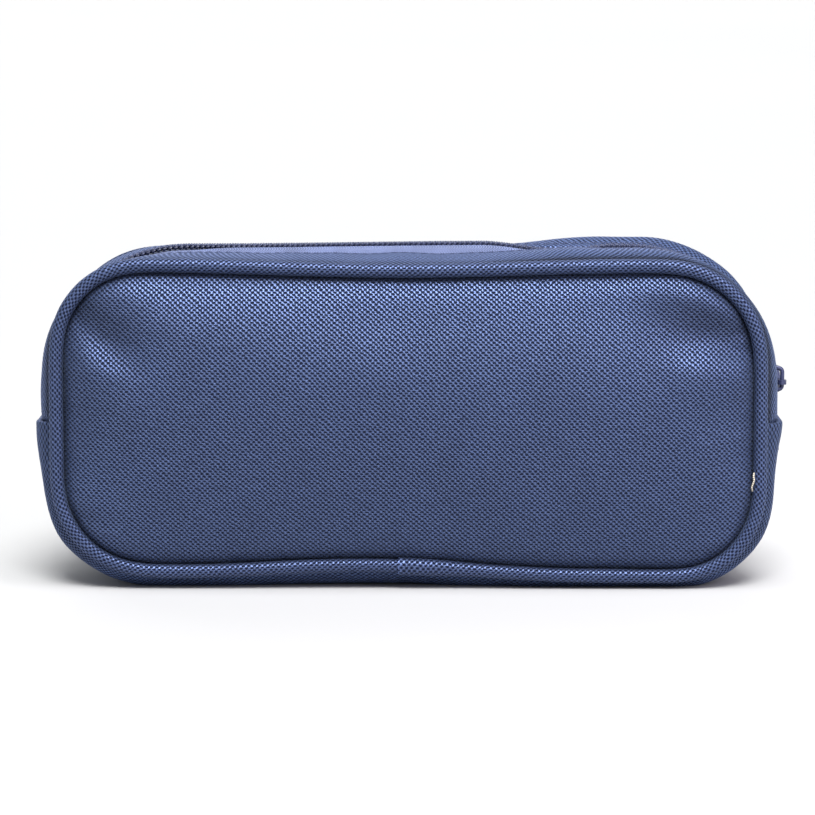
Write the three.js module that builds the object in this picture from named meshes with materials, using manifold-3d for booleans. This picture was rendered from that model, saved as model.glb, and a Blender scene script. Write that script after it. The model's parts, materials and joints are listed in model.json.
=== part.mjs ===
// A soft pencil case of woven polyester: two padded panels edged with piping, a band of fabric
// (the gusset) between them, and a coil zip that runs over the top from one end to the other.
// Millimetres. +X runs along the case, -Y is its plain face, +Z is up, and the origin is on the
// surface that it stands on, under its middle.

import * as THREE from 'three';
import { mergeVertices } from 'three/addons/utils/BufferGeometryUtils.js';
import Module from 'manifold-3d';

const wasm = await Module();
wasm.setup();

// The seam line: the hoop that each piping's centre follows
const SEAM_HALF_LENGTH = 104.2;
const SEAM_BOTTOM = 6.7;
const SEAM_TOP = 96.5;
const SEAM_SPACING = 48; // between the front and the back seam, along Y
const CORNER_RADIUS = 34;
const MOUTH_END = 48.5; // height at which the zip stops at each end of the case
const GAP = 0.3; // between pieces that touch

// Fabric
const FABRIC = 1;
const GUSSET_HALF_WIDTH = 21.8;
const GUSSET_FLAT = 11; // half the width of the gusset's flat middle
const GUSSET_EDGE = 0.9; // height of the gusset's sewn edge over the seam line
const GUSSET_CROWN = 6.7; // height of the lower gusset's middle over the seam line
const GUSSET_FOLD = 8; // length of the doubled hem at each end of the lower gusset
const SHOULDER_STEPS = 3; // down each side of a crowned band
const PANEL_BULGE = 5.5;
const PANEL_MARGIN = 2.2; // from the piping's centre to the panel's edge
const PANEL_CELLS = [14, 8]; // along and up a panel
const BULGE_POWER = 3; // how flat the bulge is in its middle

// Piping and the tape that binds the seam inside the case
const PIPING_RADIUS = 1.85;
const PIPING_SIDES = 8;
const COVER = 0.5;
const CORD_RADIUS = 1.05;
const BINDING_WIDTH = 10;
const BINDING_DEPTH = 2.6;
const BINDING_TAPE = 0.5;

// Zip, a No. 5 coil zip, with heights counted outwards from its own seam line
const ZIP_INSET = 0.9; // how far the zip's hoop lies inside the seam line at the ends
const ZIP_CORNER_RADIUS = 36.3;
const ZIP_CROWN = 5.7;
const STRIP_EDGE = 7.6; // from the middle of the zip to the strips of fabric beside it
const TAPE_EDGE = 13;
const TAPE_BOTTOM = 3.6;
const TAPE_TOP = 4.2;
const COIL_WIDTH = 2.75;
const COIL_BOTTOM = TAPE_TOP + GAP;
const COIL_TOP = 6;
const COIL_CHAMFER = 0.6;
const STOP_LENGTH = 2.8;
const STOP_WIDTH = 3;

// Slider and pull
const SLIDER_HALF_LENGTH = 4.8;
const SLIDER_SHOULDER = 4.3; // half its width where the open coils come in
const SLIDER_TAIL = 3.6; // half its width where the closed zip leaves
const SLIDER_NOSE = 3.2; // half its width at the post's end
const SLIDER_HEEL = 3; // half its width at the other end
const NOSE_LENGTH = 1.6; // along the zip, from the nose to the shoulder
const HEEL_LENGTH = 0.6; // from the tail to the heel
const SHOULDER_END = -0.5; // where the shoulder begins to narrow, from the slider's middle
const WING = 1;
const WING_CLEARANCE = 0.4;
const FLANGE = 0.6;
const TAIL_FLANGE = 0.5;
const POST_HALF_WIDTH = 0.8;
const POST_LENGTH = 2;
const BRIDGE_RADIUS = 0.65;
const BRIDGE_HEIGHT = 9.25; // from the zip's seam line to the bar's centre
const BRIDGE_HALF_LENGTH = 3.6;
const BRIDGE_LEG = 1; // height over the wing at which the bridge begins to bend
const BRIDGE_LEAN = 0.1;
const BRIDGE_SIDES = 8;
const BRIDGE_STEPS = 16;
const EYE_INNER = 0.95;
const EYE_OUTER = 1.4;
const EYE_LENGTH = 1.4;
const EYE_SIDES = 12;
const EYE_OFFSET = -1; // along the bridge's bar, towards the post's end
const PULL_LENGTH = 24;
const PULL_WIDTH = 6.5;
const PULL_THICKNESS = 1;
const PULL_NECK_END = 4; // from the bar, where the neck begins to widen
const PULL_BLADE_START = 7; // and where the blade has its full width
const PULL_HOLE_RADIUS = 1.3;
const PULL_CURVE_SEGMENTS = 10;
const PULL_TILT = 6; // degrees, towards the gusset

// Steps of a hoop: along each upright end, round each corner and along the length
const END_STEPS = 1;
const CORNER_STEPS = 8;
const LONG_STEPS = 4;
const HOOP_STEPS = 2 * (END_STEPS + CORNER_STEPS) + LONG_STEPS;

const ZIP_HALF_LENGTH = SEAM_HALF_LENGTH - ZIP_INSET;
const ARC_Z = SEAM_TOP - ZIP_CORNER_RADIUS; // height of the zip's corners' centres
const PANEL_Y = SEAM_SPACING / 2;
const FAR = 400; // larger than the case, for cutting boxes

const COLOURS = {
  weave: { color: 0x44527a, roughness: 0.78, metalness: 0 },
  piping: { color: 0x47557e, roughness: 0.75, metalness: 0 },
  cord: { color: 0xe8e4da, roughness: 0.9, metalness: 0 },
  tape: { color: 0x4b5884, roughness: 0.7, metalness: 0 },
  coil: { color: 0x232c46, roughness: 0.4, metalness: 0 },
  binding: { color: 0x2b3452, roughness: 0.85, metalness: 0 },
  metal: { color: 0x262d4a, roughness: 0.35, metalness: 0.4 },
};

const pencilCase = new THREE.Group();

function addMesh(name, geometry, finish, parent = pencilCase) {
  const mesh = new THREE.Mesh(geometry, new THREE.MeshStandardMaterial(COLOURS[finish]));
  mesh.name = name;
  parent.add(mesh);
  return mesh;
}

// Half of a rounded oblong in the XZ plane, from one end of the case to the other: over the top
// for side 1, under the bottom for side -1. Its steps are spent on the corners.
class HoopCurve extends THREE.Curve {
  constructor(halfLength, start, reach, side, radius = CORNER_RADIUS) {
    super();
    this.halfLength = halfLength;
    this.start = start;
    this.reach = reach;
    this.side = side;
    this.radius = radius;
  }

  getUtoTmapping(u) {
    return u;
  }

  getPoint(t, target = new THREE.Vector3()) {
    const straight = this.reach - this.radius;
    const corner = this.halfLength - this.radius;
    const fromMiddle = (t - 0.5) * HOOP_STEPS;
    const step = HOOP_STEPS / 2 - Math.abs(fromMiddle);
    const hand = fromMiddle > 0 ? -1 : 1;
    let x = this.halfLength;
    let z = (straight * step) / END_STEPS;
    if (step > END_STEPS + CORNER_STEPS) {
      x = corner * (1 - (2 * (step - END_STEPS - CORNER_STEPS)) / LONG_STEPS);
      z = this.reach;
    } else if (step > END_STEPS) {
      const turn = ((step - END_STEPS) / CORNER_STEPS) * (Math.PI / 2);
      x = corner + this.radius * Math.cos(turn);
      z = straight + this.radius * Math.sin(turn);
    }
    return target.set(this.side * hand * x, 0, this.start + this.side * z);
  }
}

const upperSeam = new HoopCurve(
  SEAM_HALF_LENGTH, MOUTH_END + GAP / 2, SEAM_TOP - MOUTH_END - GAP / 2, 1);
const lowerSeam = new HoopCurve(
  SEAM_HALF_LENGTH, MOUTH_END - GAP / 2, MOUTH_END - GAP / 2 - SEAM_BOTTOM, -1);
const zipSeam = new HoopCurve(
  ZIP_HALF_LENGTH, MOUTH_END + GAP / 2, SEAM_TOP - MOUTH_END - GAP / 2, 1, ZIP_CORNER_RADIUS);

// A closed outline from [y, outward] points. A swept section's own x axis points along -Y.
function section(points) {
  return new THREE.Shape(points.map(([y, outward]) => new THREE.Vector2(-y, outward)));
}

function sweep(shape, hoop) {
  return new THREE.ExtrudeGeometry(shape, {
    steps: HOOP_STEPS,
    extrudePath: hoop,
    bevelEnabled: false,
  });
}

function toSolid(geometry) {
  const bare = geometry.clone();
  bare.deleteAttribute('normal');
  bare.deleteAttribute('uv');
  const merged = mergeVertices(bare, 1e-4);
  return new wasm.Manifold(new wasm.Mesh({
    numProp: 3,
    vertProperties: new Float32Array(merged.attributes.position.array),
    triVerts: new Uint32Array(merged.index.array),
  }));
}

function toGeometry(solid) {
  const { vertProperties, triVerts } = solid.getMesh();
  const geometry = new THREE.BufferGeometry();
  geometry.setAttribute('position', new THREE.BufferAttribute(vertProperties, 3));
  geometry.setIndex(new THREE.BufferAttribute(triVerts, 1));
  geometry.computeVertexNormals();
  return geometry;
}

function box(low, high) {
  const size = high.map((value, axis) => value - low[axis]);
  const middle = high.map((value, axis) => (value + low[axis]) / 2);
  return toSolid(new THREE.BoxGeometry(...size).translate(...middle));
}

// Height of a crowned band over its seam line, at a distance from its middle
function crownHeight(y, crown) {
  const slope = Math.max(0, Math.abs(y) - GUSSET_FLAT) / (GUSSET_HALF_WIDTH - GUSSET_FLAT);
  return crown - (crown - GUSSET_EDGE) * slope ** 2;
}

// The band's outer face from one y to another, in steps down each shoulder
function crownLine(from, to, crown) {
  const shoulder = Array.from({ length: SHOULDER_STEPS + 1 }, (_, step) => (
    GUSSET_FLAT + (step / SHOULDER_STEPS) * (GUSSET_HALF_WIDTH - GUSSET_FLAT)));
  return [from, ...shoulder, ...shoulder.map((y) => -y), to]
    .filter((y, place, all) => y >= from && y <= to && all.indexOf(y) === place)
    .sort((a, b) => a - b)
    .map((y) => [y, crownHeight(y, crown)]);
}

function crownedBand(from, to, crown) {
  const outer = crownLine(from, to, crown);
  const inner = outer.map(([y, outward]) => [y, outward - FABRIC]).reverse();
  return section([...outer, ...inner]);
}

// The lower gusset, a U under the case, with a doubled hem inside each of its ends
function lowerGusset() {
  const width = [-GUSSET_HALF_WIDTH, GUSSET_HALF_WIDTH];
  const band = toSolid(sweep(crownedBand(...width, GUSSET_CROWN), lowerSeam));
  const outer = crownLine(...width, GUSSET_CROWN - FABRIC / 2);
  const hemDepth = 1.5 * FABRIC;
  const inner = outer.map(([y, outward]) => [y, outward - hemDepth]).reverse();
  const hems = [1, -1].map((hand) => {
    const points = [...outer, ...inner].map(
      ([y, outward]) => new THREE.Vector2(hand * (SEAM_HALF_LENGTH + outward), y));
    const hem = new THREE.ExtrudeGeometry(new THREE.Shape(points), {
      depth: GUSSET_FOLD,
      bevelEnabled: false,
    });
    return toSolid(hem.translate(0, 0, MOUTH_END - GAP / 2 - GUSSET_FOLD));
  });
  return toGeometry(band.add(hems[0]).add(hems[1]));
}

// The panel's plan: a rounded oblong inside the piping, as a prism along Y
function panelPrism() {
  const halfLength = SEAM_HALF_LENGTH - PANEL_MARGIN;
  const [bottom, top] = [SEAM_BOTTOM + PANEL_MARGIN, SEAM_TOP - PANEL_MARGIN];
  const radius = CORNER_RADIUS - PANEL_MARGIN;
  const plan = new THREE.Shape();
  plan.absarc(halfLength - radius, bottom + radius, radius, -Math.PI / 2, 0);
  plan.absarc(halfLength - radius, top - radius, radius, 0, Math.PI / 2);
  plan.absarc(radius - halfLength, top - radius, radius, Math.PI / 2, Math.PI);
  plan.absarc(radius - halfLength, bottom + radius, radius, Math.PI, 1.5 * Math.PI);
  const prism = new THREE.ExtrudeGeometry(plan, {
    depth: FAR,
    curveSegments: CORNER_STEPS,
    bevelEnabled: false,
  });
  return toSolid(prism.translate(0, 0, -FAR / 2).rotateX(Math.PI / 2));
}

// A sheet of fabric that bulges away from the case's middle, hand -1 for the front
function bulgedSheet(hand) {
  const [width, height] = [2 * SEAM_HALF_LENGTH, SEAM_TOP - SEAM_BOTTOM];
  const sheet = new THREE.BoxGeometry(
    width, FABRIC, height, PANEL_CELLS[0], 1, PANEL_CELLS[1]);
  const position = sheet.attributes.position;
  for (let i = 0; i < position.count; i += 1) {
    const across = 1 - Math.abs(position.getX(i) / (width / 2)) ** BULGE_POWER;
    const up = 1 - Math.abs(position.getZ(i) / (height / 2)) ** BULGE_POWER;
    position.setY(i, position.getY(i) + hand * PANEL_BULGE * across * up);
  }
  const middle = (SEAM_TOP + SEAM_BOTTOM) / 2;
  return toSolid(sheet.translate(0, hand * (PANEL_Y - FABRIC / 2), middle));
}

const upperHalf = box([-FAR, -FAR, MOUTH_END + GAP / 2], [FAR, FAR, FAR]);
const lowerHalf = box([-FAR, -FAR, -FAR], [FAR, FAR, MOUTH_END - GAP / 2]);

function ringPoints(radius, sides) {
  return Array.from({ length: sides }, (_, i) => {
    const turn = ((i + 0.5) / sides) * 2 * Math.PI;
    return new THREE.Vector2(radius * Math.cos(turn), radius * Math.sin(turn));
  });
}

function addPanel(side, hand) {
  const panel = bulgedSheet(hand).intersect(panelPrism());
  addMesh(`${side}_panel_lower`, toGeometry(panel.intersect(lowerHalf)), 'weave');
  addMesh(`${side}_panel_upper`, toGeometry(panel.intersect(upperHalf)), 'weave');
}

// A sleeve of fabric round a soft cord, along the edge of the panel
function addPiping(side, hand) {
  const cover = new THREE.Shape(ringPoints(PIPING_RADIUS, PIPING_SIDES));
  cover.holes.push(new THREE.Path(ringPoints(PIPING_RADIUS - COVER, PIPING_SIDES)));
  const cord = new THREE.Shape(ringPoints(CORD_RADIUS, PIPING_SIDES - 2));
  for (const [half, hoop] of [['lower', lowerSeam], ['upper', upperSeam]]) {
    for (const [part, shape, finish] of [['cover', cover, 'piping'], ['cord', cord, 'cord']]) {
      const mesh = addMesh(`${side}_piping_${part}_${half}`, sweep(shape, hoop), finish);
      mesh.position.y = hand * PANEL_Y;
    }
  }
}

// Tape folded over the raw edges of the seam, inside the case
function addBinding(side, hand) {
  const outside = hand * (PANEL_Y - FABRIC - GAP - BINDING_TAPE);
  const inside = outside - hand * BINDING_DEPTH;
  const [root, tip] = [-PANEL_MARGIN, -PANEL_MARGIN - BINDING_WIDTH];
  const shape = section([
    [outside, root],
    [outside, tip],
    [inside, tip],
    [inside, root],
    [inside + hand * BINDING_TAPE, root],
    [inside + hand * BINDING_TAPE, tip + BINDING_TAPE],
    [outside - hand * BINDING_TAPE, tip + BINDING_TAPE],
    [outside - hand * BINDING_TAPE, root],
  ]);
  addMesh(`${side}_seam_binding_lower`, sweep(shape, lowerSeam), 'binding');
  addMesh(`${side}_seam_binding_upper`, sweep(shape, upperSeam), 'binding');
}

// The ends of the coil, cut back for the stops, and the slot that the slider's post needs
const coilStart = ARC_Z - SLIDER_HALF_LENGTH - GAP;
const postStart = ARC_Z - SLIDER_HALF_LENGTH + GAP;
const postEnd = postStart + POST_LENGTH;
const postHalfSlot = POST_HALF_WIDTH + GAP;
const postSlot = box([0, -postHalfSlot, coilStart - GAP], [FAR, postHalfSlot, postEnd + GAP]);
const stopSpace = box([-FAR, -FAR, -FAR], [FAR, FAR, coilStart]);

function halfZipSection(hand, near, far, bottom, top) {
  return section([
    [hand * near, bottom],
    [hand * far, bottom],
    [hand * far, top],
    [hand * near, top],
  ]);
}

function addHalfZip(side, hand) {
  const strip = [hand * STRIP_EDGE, hand * GUSSET_HALF_WIDTH].sort((a, b) => a - b);
  addMesh(`${side}_zip_strip`, sweep(crownedBand(...strip, ZIP_CROWN), zipSeam), 'weave');

  const tape = halfZipSection(hand, GAP / 2, TAPE_EDGE, TAPE_BOTTOM, TAPE_TOP);
  addMesh(`${side}_zip_tape`, toGeometry(toSolid(sweep(tape, zipSeam)).subtract(postSlot)), 'tape');

  const coil = section([
    [hand * (GAP / 2), COIL_BOTTOM],
    [hand * COIL_WIDTH, COIL_BOTTOM],
    [hand * COIL_WIDTH, COIL_TOP - COIL_CHAMFER],
    [hand * (COIL_WIDTH - COIL_CHAMFER), COIL_TOP],
    [hand * (GAP / 2), COIL_TOP],
  ]);
  const coilSolid = toSolid(sweep(coil, zipSeam)).subtract(stopSpace).subtract(postSlot);
  addMesh(`${side}_zip_coil`, toGeometry(coilSolid), 'coil');

  const stopTop = coilStart - GAP;
  const stop = [hand * GAP, hand * (GAP + STOP_WIDTH)].sort((a, b) => a - b);
  addMesh(`${side}_top_stop`, toGeometry(box(
    [ZIP_HALF_LENGTH + COIL_BOTTOM, stop[0], stopTop - STOP_LENGTH],
    [ZIP_HALF_LENGTH + COIL_TOP, stop[1], stopTop])), 'metal');
}

// The stop that joins both coils at the end where the zip opens
function bottomStop() {
  const top = coilStart - GAP;
  return toGeometry(box(
    [-ZIP_HALF_LENGTH - COIL_TOP, -STOP_WIDTH, top - STOP_LENGTH],
    [-ZIP_HALF_LENGTH - COIL_BOTTOM, STOP_WIDTH, top]));
}

// A shape drawn in the YZ plane, as a slab from one x to another
function slab(shape, from, to) {
  const flat = new THREE.ExtrudeGeometry(shape, {
    depth: to - from,
    curveSegments: PULL_CURVE_SEGMENTS,
    bevelEnabled: false,
  });
  const turned = new THREE.Matrix4().makeBasis(
    new THREE.Vector3(0, 1, 0), new THREE.Vector3(0, 0, 1), new THREE.Vector3(1, 0, 0));
  return toSolid(flat.applyMatrix4(turned).translate(from, 0, 0));
}

function plate(points, from, to) {
  return slab(new THREE.Shape(points.map(([y, z]) => new THREE.Vector2(y, z))), from, to);
}

// The slider at the right-hand end of the zip, in a frame whose x is the height over the zip's
// seam line and whose z runs along the zip. The post end faces the stops.
function sliderBody() {
  const [low, high] = [-SLIDER_HALF_LENGTH, SLIDER_HALF_LENGTH];
  const half = [
    [SLIDER_NOSE, low],
    [SLIDER_SHOULDER, low + NOSE_LENGTH],
    [SLIDER_SHOULDER, SHOULDER_END],
    [SLIDER_TAIL, high - HEEL_LENGTH],
    [SLIDER_HEEL, high],
  ];
  const outline = [...half, ...half.map(([y, z]) => [-y, z]).reverse()];
  const wingBottom = COIL_TOP + WING_CLEARANCE;
  const wingTop = wingBottom + WING;
  const underTop = TAPE_BOTTOM - WING_CLEARANCE - GAP;
  let solid = plate(outline, wingBottom, wingTop);
  solid = solid.add(plate(outline, underTop - WING, underTop));
  const postLow = postStart - ARC_Z;
  solid = solid.add(box(
    [underTop - WING / 2, -POST_HALF_WIDTH, postLow],
    [wingTop - WING / 2, POST_HALF_WIDTH, postLow + POST_LENGTH]));
  for (const hand of [1, -1]) {
    const flange = [
      [hand * (SLIDER_SHOULDER - FLANGE), low + NOSE_LENGTH],
      [hand * SLIDER_SHOULDER, low + NOSE_LENGTH],
      [hand * SLIDER_SHOULDER, SHOULDER_END],
      [hand * SLIDER_TAIL, high - HEEL_LENGTH],
      [hand * (SLIDER_TAIL - TAIL_FLANGE), high - HEEL_LENGTH],
      [hand * (SLIDER_SHOULDER - FLANGE), SHOULDER_END],
    ];
    solid = solid.add(plate(flange, TAPE_TOP + WING_CLEARANCE, wingBottom + WING / 2));
  }
  const leg = BRIDGE_HALF_LENGTH - BRIDGE_LEAN;
  const bow = new THREE.CatmullRomCurve3([
    new THREE.Vector3(wingTop - WING / 2, 0, -BRIDGE_HALF_LENGTH),
    new THREE.Vector3(wingTop + BRIDGE_LEG, 0, -leg),
    new THREE.Vector3(BRIDGE_HEIGHT, 0, -BRIDGE_HALF_LENGTH / 2),
    new THREE.Vector3(BRIDGE_HEIGHT, 0, BRIDGE_HALF_LENGTH / 2),
    new THREE.Vector3(wingTop + BRIDGE_LEG, 0, leg),
    new THREE.Vector3(wingTop - WING / 2, 0, BRIDGE_HALF_LENGTH),
  ]);
  const wire = new THREE.Shape(ringPoints(BRIDGE_RADIUS, BRIDGE_SIDES));
  const bridge = new THREE.ExtrudeGeometry(wire, {
    steps: BRIDGE_STEPS,
    extrudePath: bow,
    bevelEnabled: false,
  });
  return toGeometry(solid.add(toSolid(bridge)));
}

// The pull: a flat tab whose neck is curled round the slider's bridge, lying towards +Y, in a
// frame centred on the bridge's bar
function pullTab() {
  const eye = new THREE.Shape(ringPoints(EYE_OUTER, EYE_SIDES));
  eye.holes.push(new THREE.Path(ringPoints(EYE_INNER, EYE_SIDES)));
  const curl = new THREE.ExtrudeGeometry(eye, { depth: EYE_LENGTH, bevelEnabled: false });
  const neck = EYE_LENGTH / 2;
  const root = (EYE_INNER + EYE_OUTER) / 2;
  const blade = new THREE.Shape();
  blade.moveTo(root, -neck);
  blade.lineTo(PULL_NECK_END, -neck);
  blade.lineTo(PULL_BLADE_START, -PULL_WIDTH / 2);
  const end = PULL_LENGTH - PULL_WIDTH / 2;
  blade.absarc(end, 0, PULL_WIDTH / 2, -Math.PI / 2, Math.PI / 2);
  blade.lineTo(PULL_BLADE_START, PULL_WIDTH / 2);
  blade.lineTo(PULL_NECK_END, neck);
  blade.lineTo(root, neck);
  const hole = new THREE.Path();
  hole.absarc(end, 0, PULL_HOLE_RADIUS, 0, 2 * Math.PI);
  blade.holes.push(hole);
  const tab = slab(blade, -PULL_THICKNESS / 2, PULL_THICKNESS / 2);
  return toGeometry(toSolid(curl.translate(0, 0, -EYE_LENGTH / 2)).add(tab));
}

addMesh('lower_gusset', lowerGusset(), 'weave');
for (const [side, hand] of [['front', -1], ['back', 1]]) {
  addPanel(side, hand);
  addPiping(side, hand);
  addBinding(side, hand);
  addHalfZip(side, hand);
}
addMesh('bottom_stop', bottomStop(), 'metal');

const slider = new THREE.Group();
slider.position.set(ZIP_HALF_LENGTH, 0, ARC_Z);
addMesh('slider_body', sliderBody(), 'metal', slider);
const pull = new THREE.Group();
pull.position.set(BRIDGE_HEIGHT, 0, EYE_OFFSET);
pull.rotation.z = THREE.MathUtils.degToRad(PULL_TILT);
addMesh('pull_tab', pullTab(), 'metal', pull);
slider.add(pull);
pencilCase.add(slider);

export default pencilCase;
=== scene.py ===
import json
import math

import bmesh
import bpy
import numpy as np
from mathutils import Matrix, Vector, geometry, noise


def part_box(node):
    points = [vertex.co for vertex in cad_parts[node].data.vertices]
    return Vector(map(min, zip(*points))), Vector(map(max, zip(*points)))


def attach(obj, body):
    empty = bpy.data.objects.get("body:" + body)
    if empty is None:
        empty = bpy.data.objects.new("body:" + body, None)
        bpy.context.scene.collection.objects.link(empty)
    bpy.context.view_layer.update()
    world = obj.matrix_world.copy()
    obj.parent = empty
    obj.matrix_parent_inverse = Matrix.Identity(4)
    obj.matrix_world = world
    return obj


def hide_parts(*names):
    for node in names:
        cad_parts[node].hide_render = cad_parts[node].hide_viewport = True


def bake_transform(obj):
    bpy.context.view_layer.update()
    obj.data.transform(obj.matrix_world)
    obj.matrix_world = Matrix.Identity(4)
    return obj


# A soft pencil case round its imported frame: two padded panels edged with piping, a band of
# fabric between them and a coil zip over the top. Shapes are worked out in millimetres, in the
# frame's own axes: +X along the case, -Y out of its plain face, +Z up.

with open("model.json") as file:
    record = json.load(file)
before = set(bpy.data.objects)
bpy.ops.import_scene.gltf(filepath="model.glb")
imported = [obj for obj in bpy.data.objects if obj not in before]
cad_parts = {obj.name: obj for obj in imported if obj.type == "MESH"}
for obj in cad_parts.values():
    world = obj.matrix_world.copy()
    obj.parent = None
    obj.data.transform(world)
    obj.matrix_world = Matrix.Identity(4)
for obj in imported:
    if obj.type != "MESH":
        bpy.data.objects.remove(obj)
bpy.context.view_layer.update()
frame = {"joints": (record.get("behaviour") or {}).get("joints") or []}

MM = 0.001


def corners_mm(node):
    """A CAD node's lowest and highest corners, in millimetres"""
    return [np.array(corner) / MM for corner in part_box(node)]


def joint_place_mm(name):
    joint = next(j for j in frame["joints"] if j["name"] == name)
    return np.array(joint["pos_m"]) / MM


# ---- sizes read from the frame
pipe_low, _ = corners_mm("front_piping_cover_lower")
_, pipe_high = corners_mm("front_piping_cover_upper")
pipe_apothem = (corners_mm("front_piping_cover_lower")[1][1] - pipe_low[1]) / 2
SEAM_Y = -(pipe_low[1] + pipe_apothem)
SEAM_HALF_LENGTH = pipe_high[0] - pipe_apothem
SEAM_TOP = pipe_high[2] - pipe_apothem
SEAM_BOTTOM = pipe_low[2] + pipe_apothem
MOUTH_END = joint_place_mm("front_lip_open")[2]
ARC_CENTRE = joint_place_mm("slider_travel")
ZIP_RADIUS = SEAM_TOP - ARC_CENTRE[2]
ZIP_HALF_LENGTH = ARC_CENTRE[0] + ZIP_RADIUS

# ---- sizes of the soft pieces
PIPING_RADIUS = 2.12
PIPING_WALL = 0.6
PIPING_SIDES = 20
# Corner radii are given for the top right, top left, bottom left and bottom right
CORNER_RADII = (27.8, 25.0, 26.8, 25.0)
BACK_CORNER_RADII = (31.0, 28.0, 30.0, 28.0)
GUSSET_CORNER_RADII = (34.0, 34.0, 32.6, 30.4)
GUSSET_EDGE_Y = 22.4
# Half of a band's flat middle, and how squarely it turns down to its edges
GUSSET_SHOULDER = (13.0, 2.6)
STRIP_SHOULDER = (10.5, 2.0)
GUSSET_CROWN = SEAM_BOTTOM  # the band reaches the floor
SEAM_RISE = 1.2  # height of the gusset's and the strips' edges over the seam
FABRIC = 0.9  # thickness of the gusset's and the strips' cloth
STRIP_FOLD_Y = 7.6  # the folded edge of a strip, beside the zip

# The dip of the top seam and the rise of the bottom one: middle and reach along X
TOP_DIP = (-3, 75)
BOTTOM_RISE = (-10, 62)

# Steps of a loop: along half an upright end, round a corner, along the top or the bottom
UPRIGHT_STEPS = 16
CORNER_STEPS = 40
LONG_STEPS = 120
HALF_LOOP = 2 * UPRIGHT_STEPS + 2 * CORNER_STEPS + LONG_STEPS


# ---- loops in the XZ plane
def smooth_step(value, start=0.0, end=1.0):
    t = np.clip((value - start) / (end - start), 0.0, 1.0)
    return t * t * (3 - 2 * t)


def hump(value, middle, reach):
    """A smooth rise to 1 at the middle, zero beyond its reach"""
    away = np.clip(np.abs(value - middle) / reach, 0.0, 1.0)
    return np.cos(0.5 * math.pi * away) ** 2


def rounded_loop(half_length, low, high, radii, smoothing):
    """[x, z] points from the middle of the right-hand end, over the top and back underneath"""
    signs = ((1, 1), (-1, 1), (-1, -1), (1, -1))
    arcs = []
    for number, ((x_sign, z_sign), radius) in enumerate(zip(signs, radii)):
        x = x_sign * (half_length - radius)
        z = high - radius if z_sign > 0 else low + radius
        turns = 0.5 * math.pi * (number + np.arange(CORNER_STEPS + 1) / CORNER_STEPS)
        arcs.append(np.stack([x + radius * np.cos(turns), z + radius * np.sin(turns)], axis=1))
    right, left = np.array([[half_length, MOUTH_END]]), np.array([[-half_length, MOUTH_END]])
    stops = [right, *arcs[:2], left, *arcs[2:], right]
    counts = [UPRIGHT_STEPS, LONG_STEPS, UPRIGHT_STEPS] * 2
    points = []
    for stop, following, count in zip(stops, stops[1:], counts):
        steps = np.arange(count)[:, None]
        points += [stop[:-1], stop[-1] + (following[0] - stop[-1]) * steps / count]
    loop = np.vstack(points)
    for _ in range(smoothing):
        loop = 0.5 * loop + 0.25 * (np.roll(loop, 1, axis=0) + np.roll(loop, -1, axis=0))
    return loop


def unit(vectors):
    return vectors / np.linalg.norm(vectors, axis=1, keepdims=True)


def outward(loop):
    """The outward direction at each point of a closed loop"""
    x, z = unit(np.roll(loop, -1, axis=0) - np.roll(loop, 1, axis=0)).T
    return np.stack([z, -x], axis=1)


def run_length(points):
    """The distance along a line of points, from its first one"""
    steps = np.linalg.norm(np.diff(points, axis=0), axis=1)
    return np.concatenate([[0.0], np.cumsum(steps)])


def seam_loop(radii, sag, top_dip, bottom_rise, top_slope=0.0, bottom_slope=0.0):
    """A panel's seam: it settles at the bottom, its long sides are pulled in at their middles,
    and they may slope, as a soft case stands"""
    x, z = rounded_loop(SEAM_HALF_LENGTH, SEAM_BOTTOM - sag, SEAM_TOP, radii, 30).T
    upper = np.clip((z - MOUTH_END) / (SEAM_TOP - MOUTH_END), 0, 1)
    lower = np.clip((MOUTH_END - z) / (MOUTH_END - SEAM_BOTTOM), 0, 1)
    lift = upper * (top_slope * x - top_dip * hump(x, *TOP_DIP))
    lift = lift + lower * (bottom_slope * x + bottom_rise * hump(x, *BOTTOM_RISE))
    return np.stack([x, z + lift], axis=1)


SEAMS = {
    "front": seam_loop(CORNER_RADII, sag=2.0, top_dip=1.5, bottom_rise=2.4,
                       top_slope=-0.002, bottom_slope=-0.0105),
    "back": seam_loop(BACK_CORNER_RADII, sag=1.4, top_dip=1.2, bottom_rise=1.6),
}
ZIP_LOOP = rounded_loop(ZIP_HALF_LENGTH, SEAM_BOTTOM, SEAM_TOP, (ZIP_RADIUS,) * 4, 8)
BASE_LOOP = rounded_loop(SEAM_HALF_LENGTH, SEAM_BOTTOM, SEAM_TOP, GUSSET_CORNER_RADII, 8)
HAND = {"front": -1, "back": 1}


def soft_noise(points, size, seed):
    """Smooth noise between about -1 and 1 at each point, with lumps of the given size"""
    shift = Vector((17.3 * seed, 5.1 * seed, 9.7 * seed))
    return np.array([noise.noise(Vector(p) / size + shift) for p in points])


# ---- meshes
def link(mesh):
    piece = bpy.data.objects.new(mesh.name, mesh)
    bpy.context.scene.collection.objects.link(piece)
    return piece


def build(name, points, faces, uvs, sharp_degrees=45, shade=None):
    """A smooth-shaded piece from points in millimetres, with a UV map laid out in metres and
    a painted shading layer: painted shade that darkens its colour in the depth of the seams,
    and painted light that lightens it where the layer is above 1"""
    mesh = bpy.data.meshes.new(name)
    mesh.from_pydata((np.asarray(points) * MM).tolist(), [], faces)
    layer = mesh.uv_layers.new(name="cloth")
    layer.data.foreach_set("uv", (np.asarray(uvs, float) * MM).ravel())
    mesh.polygons.foreach_set("use_smooth", [True] * len(mesh.polygons))
    mesh.set_sharp_from_angle(angle=math.radians(sharp_degrees))
    depth = mesh.attributes.new("painted_shading", "FLOAT", "POINT")
    full = np.ones(len(mesh.vertices)) if shade is None else np.ravel(shade)
    depth.data.foreach_set("value", full.astype(np.float32))
    return link(mesh)


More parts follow.
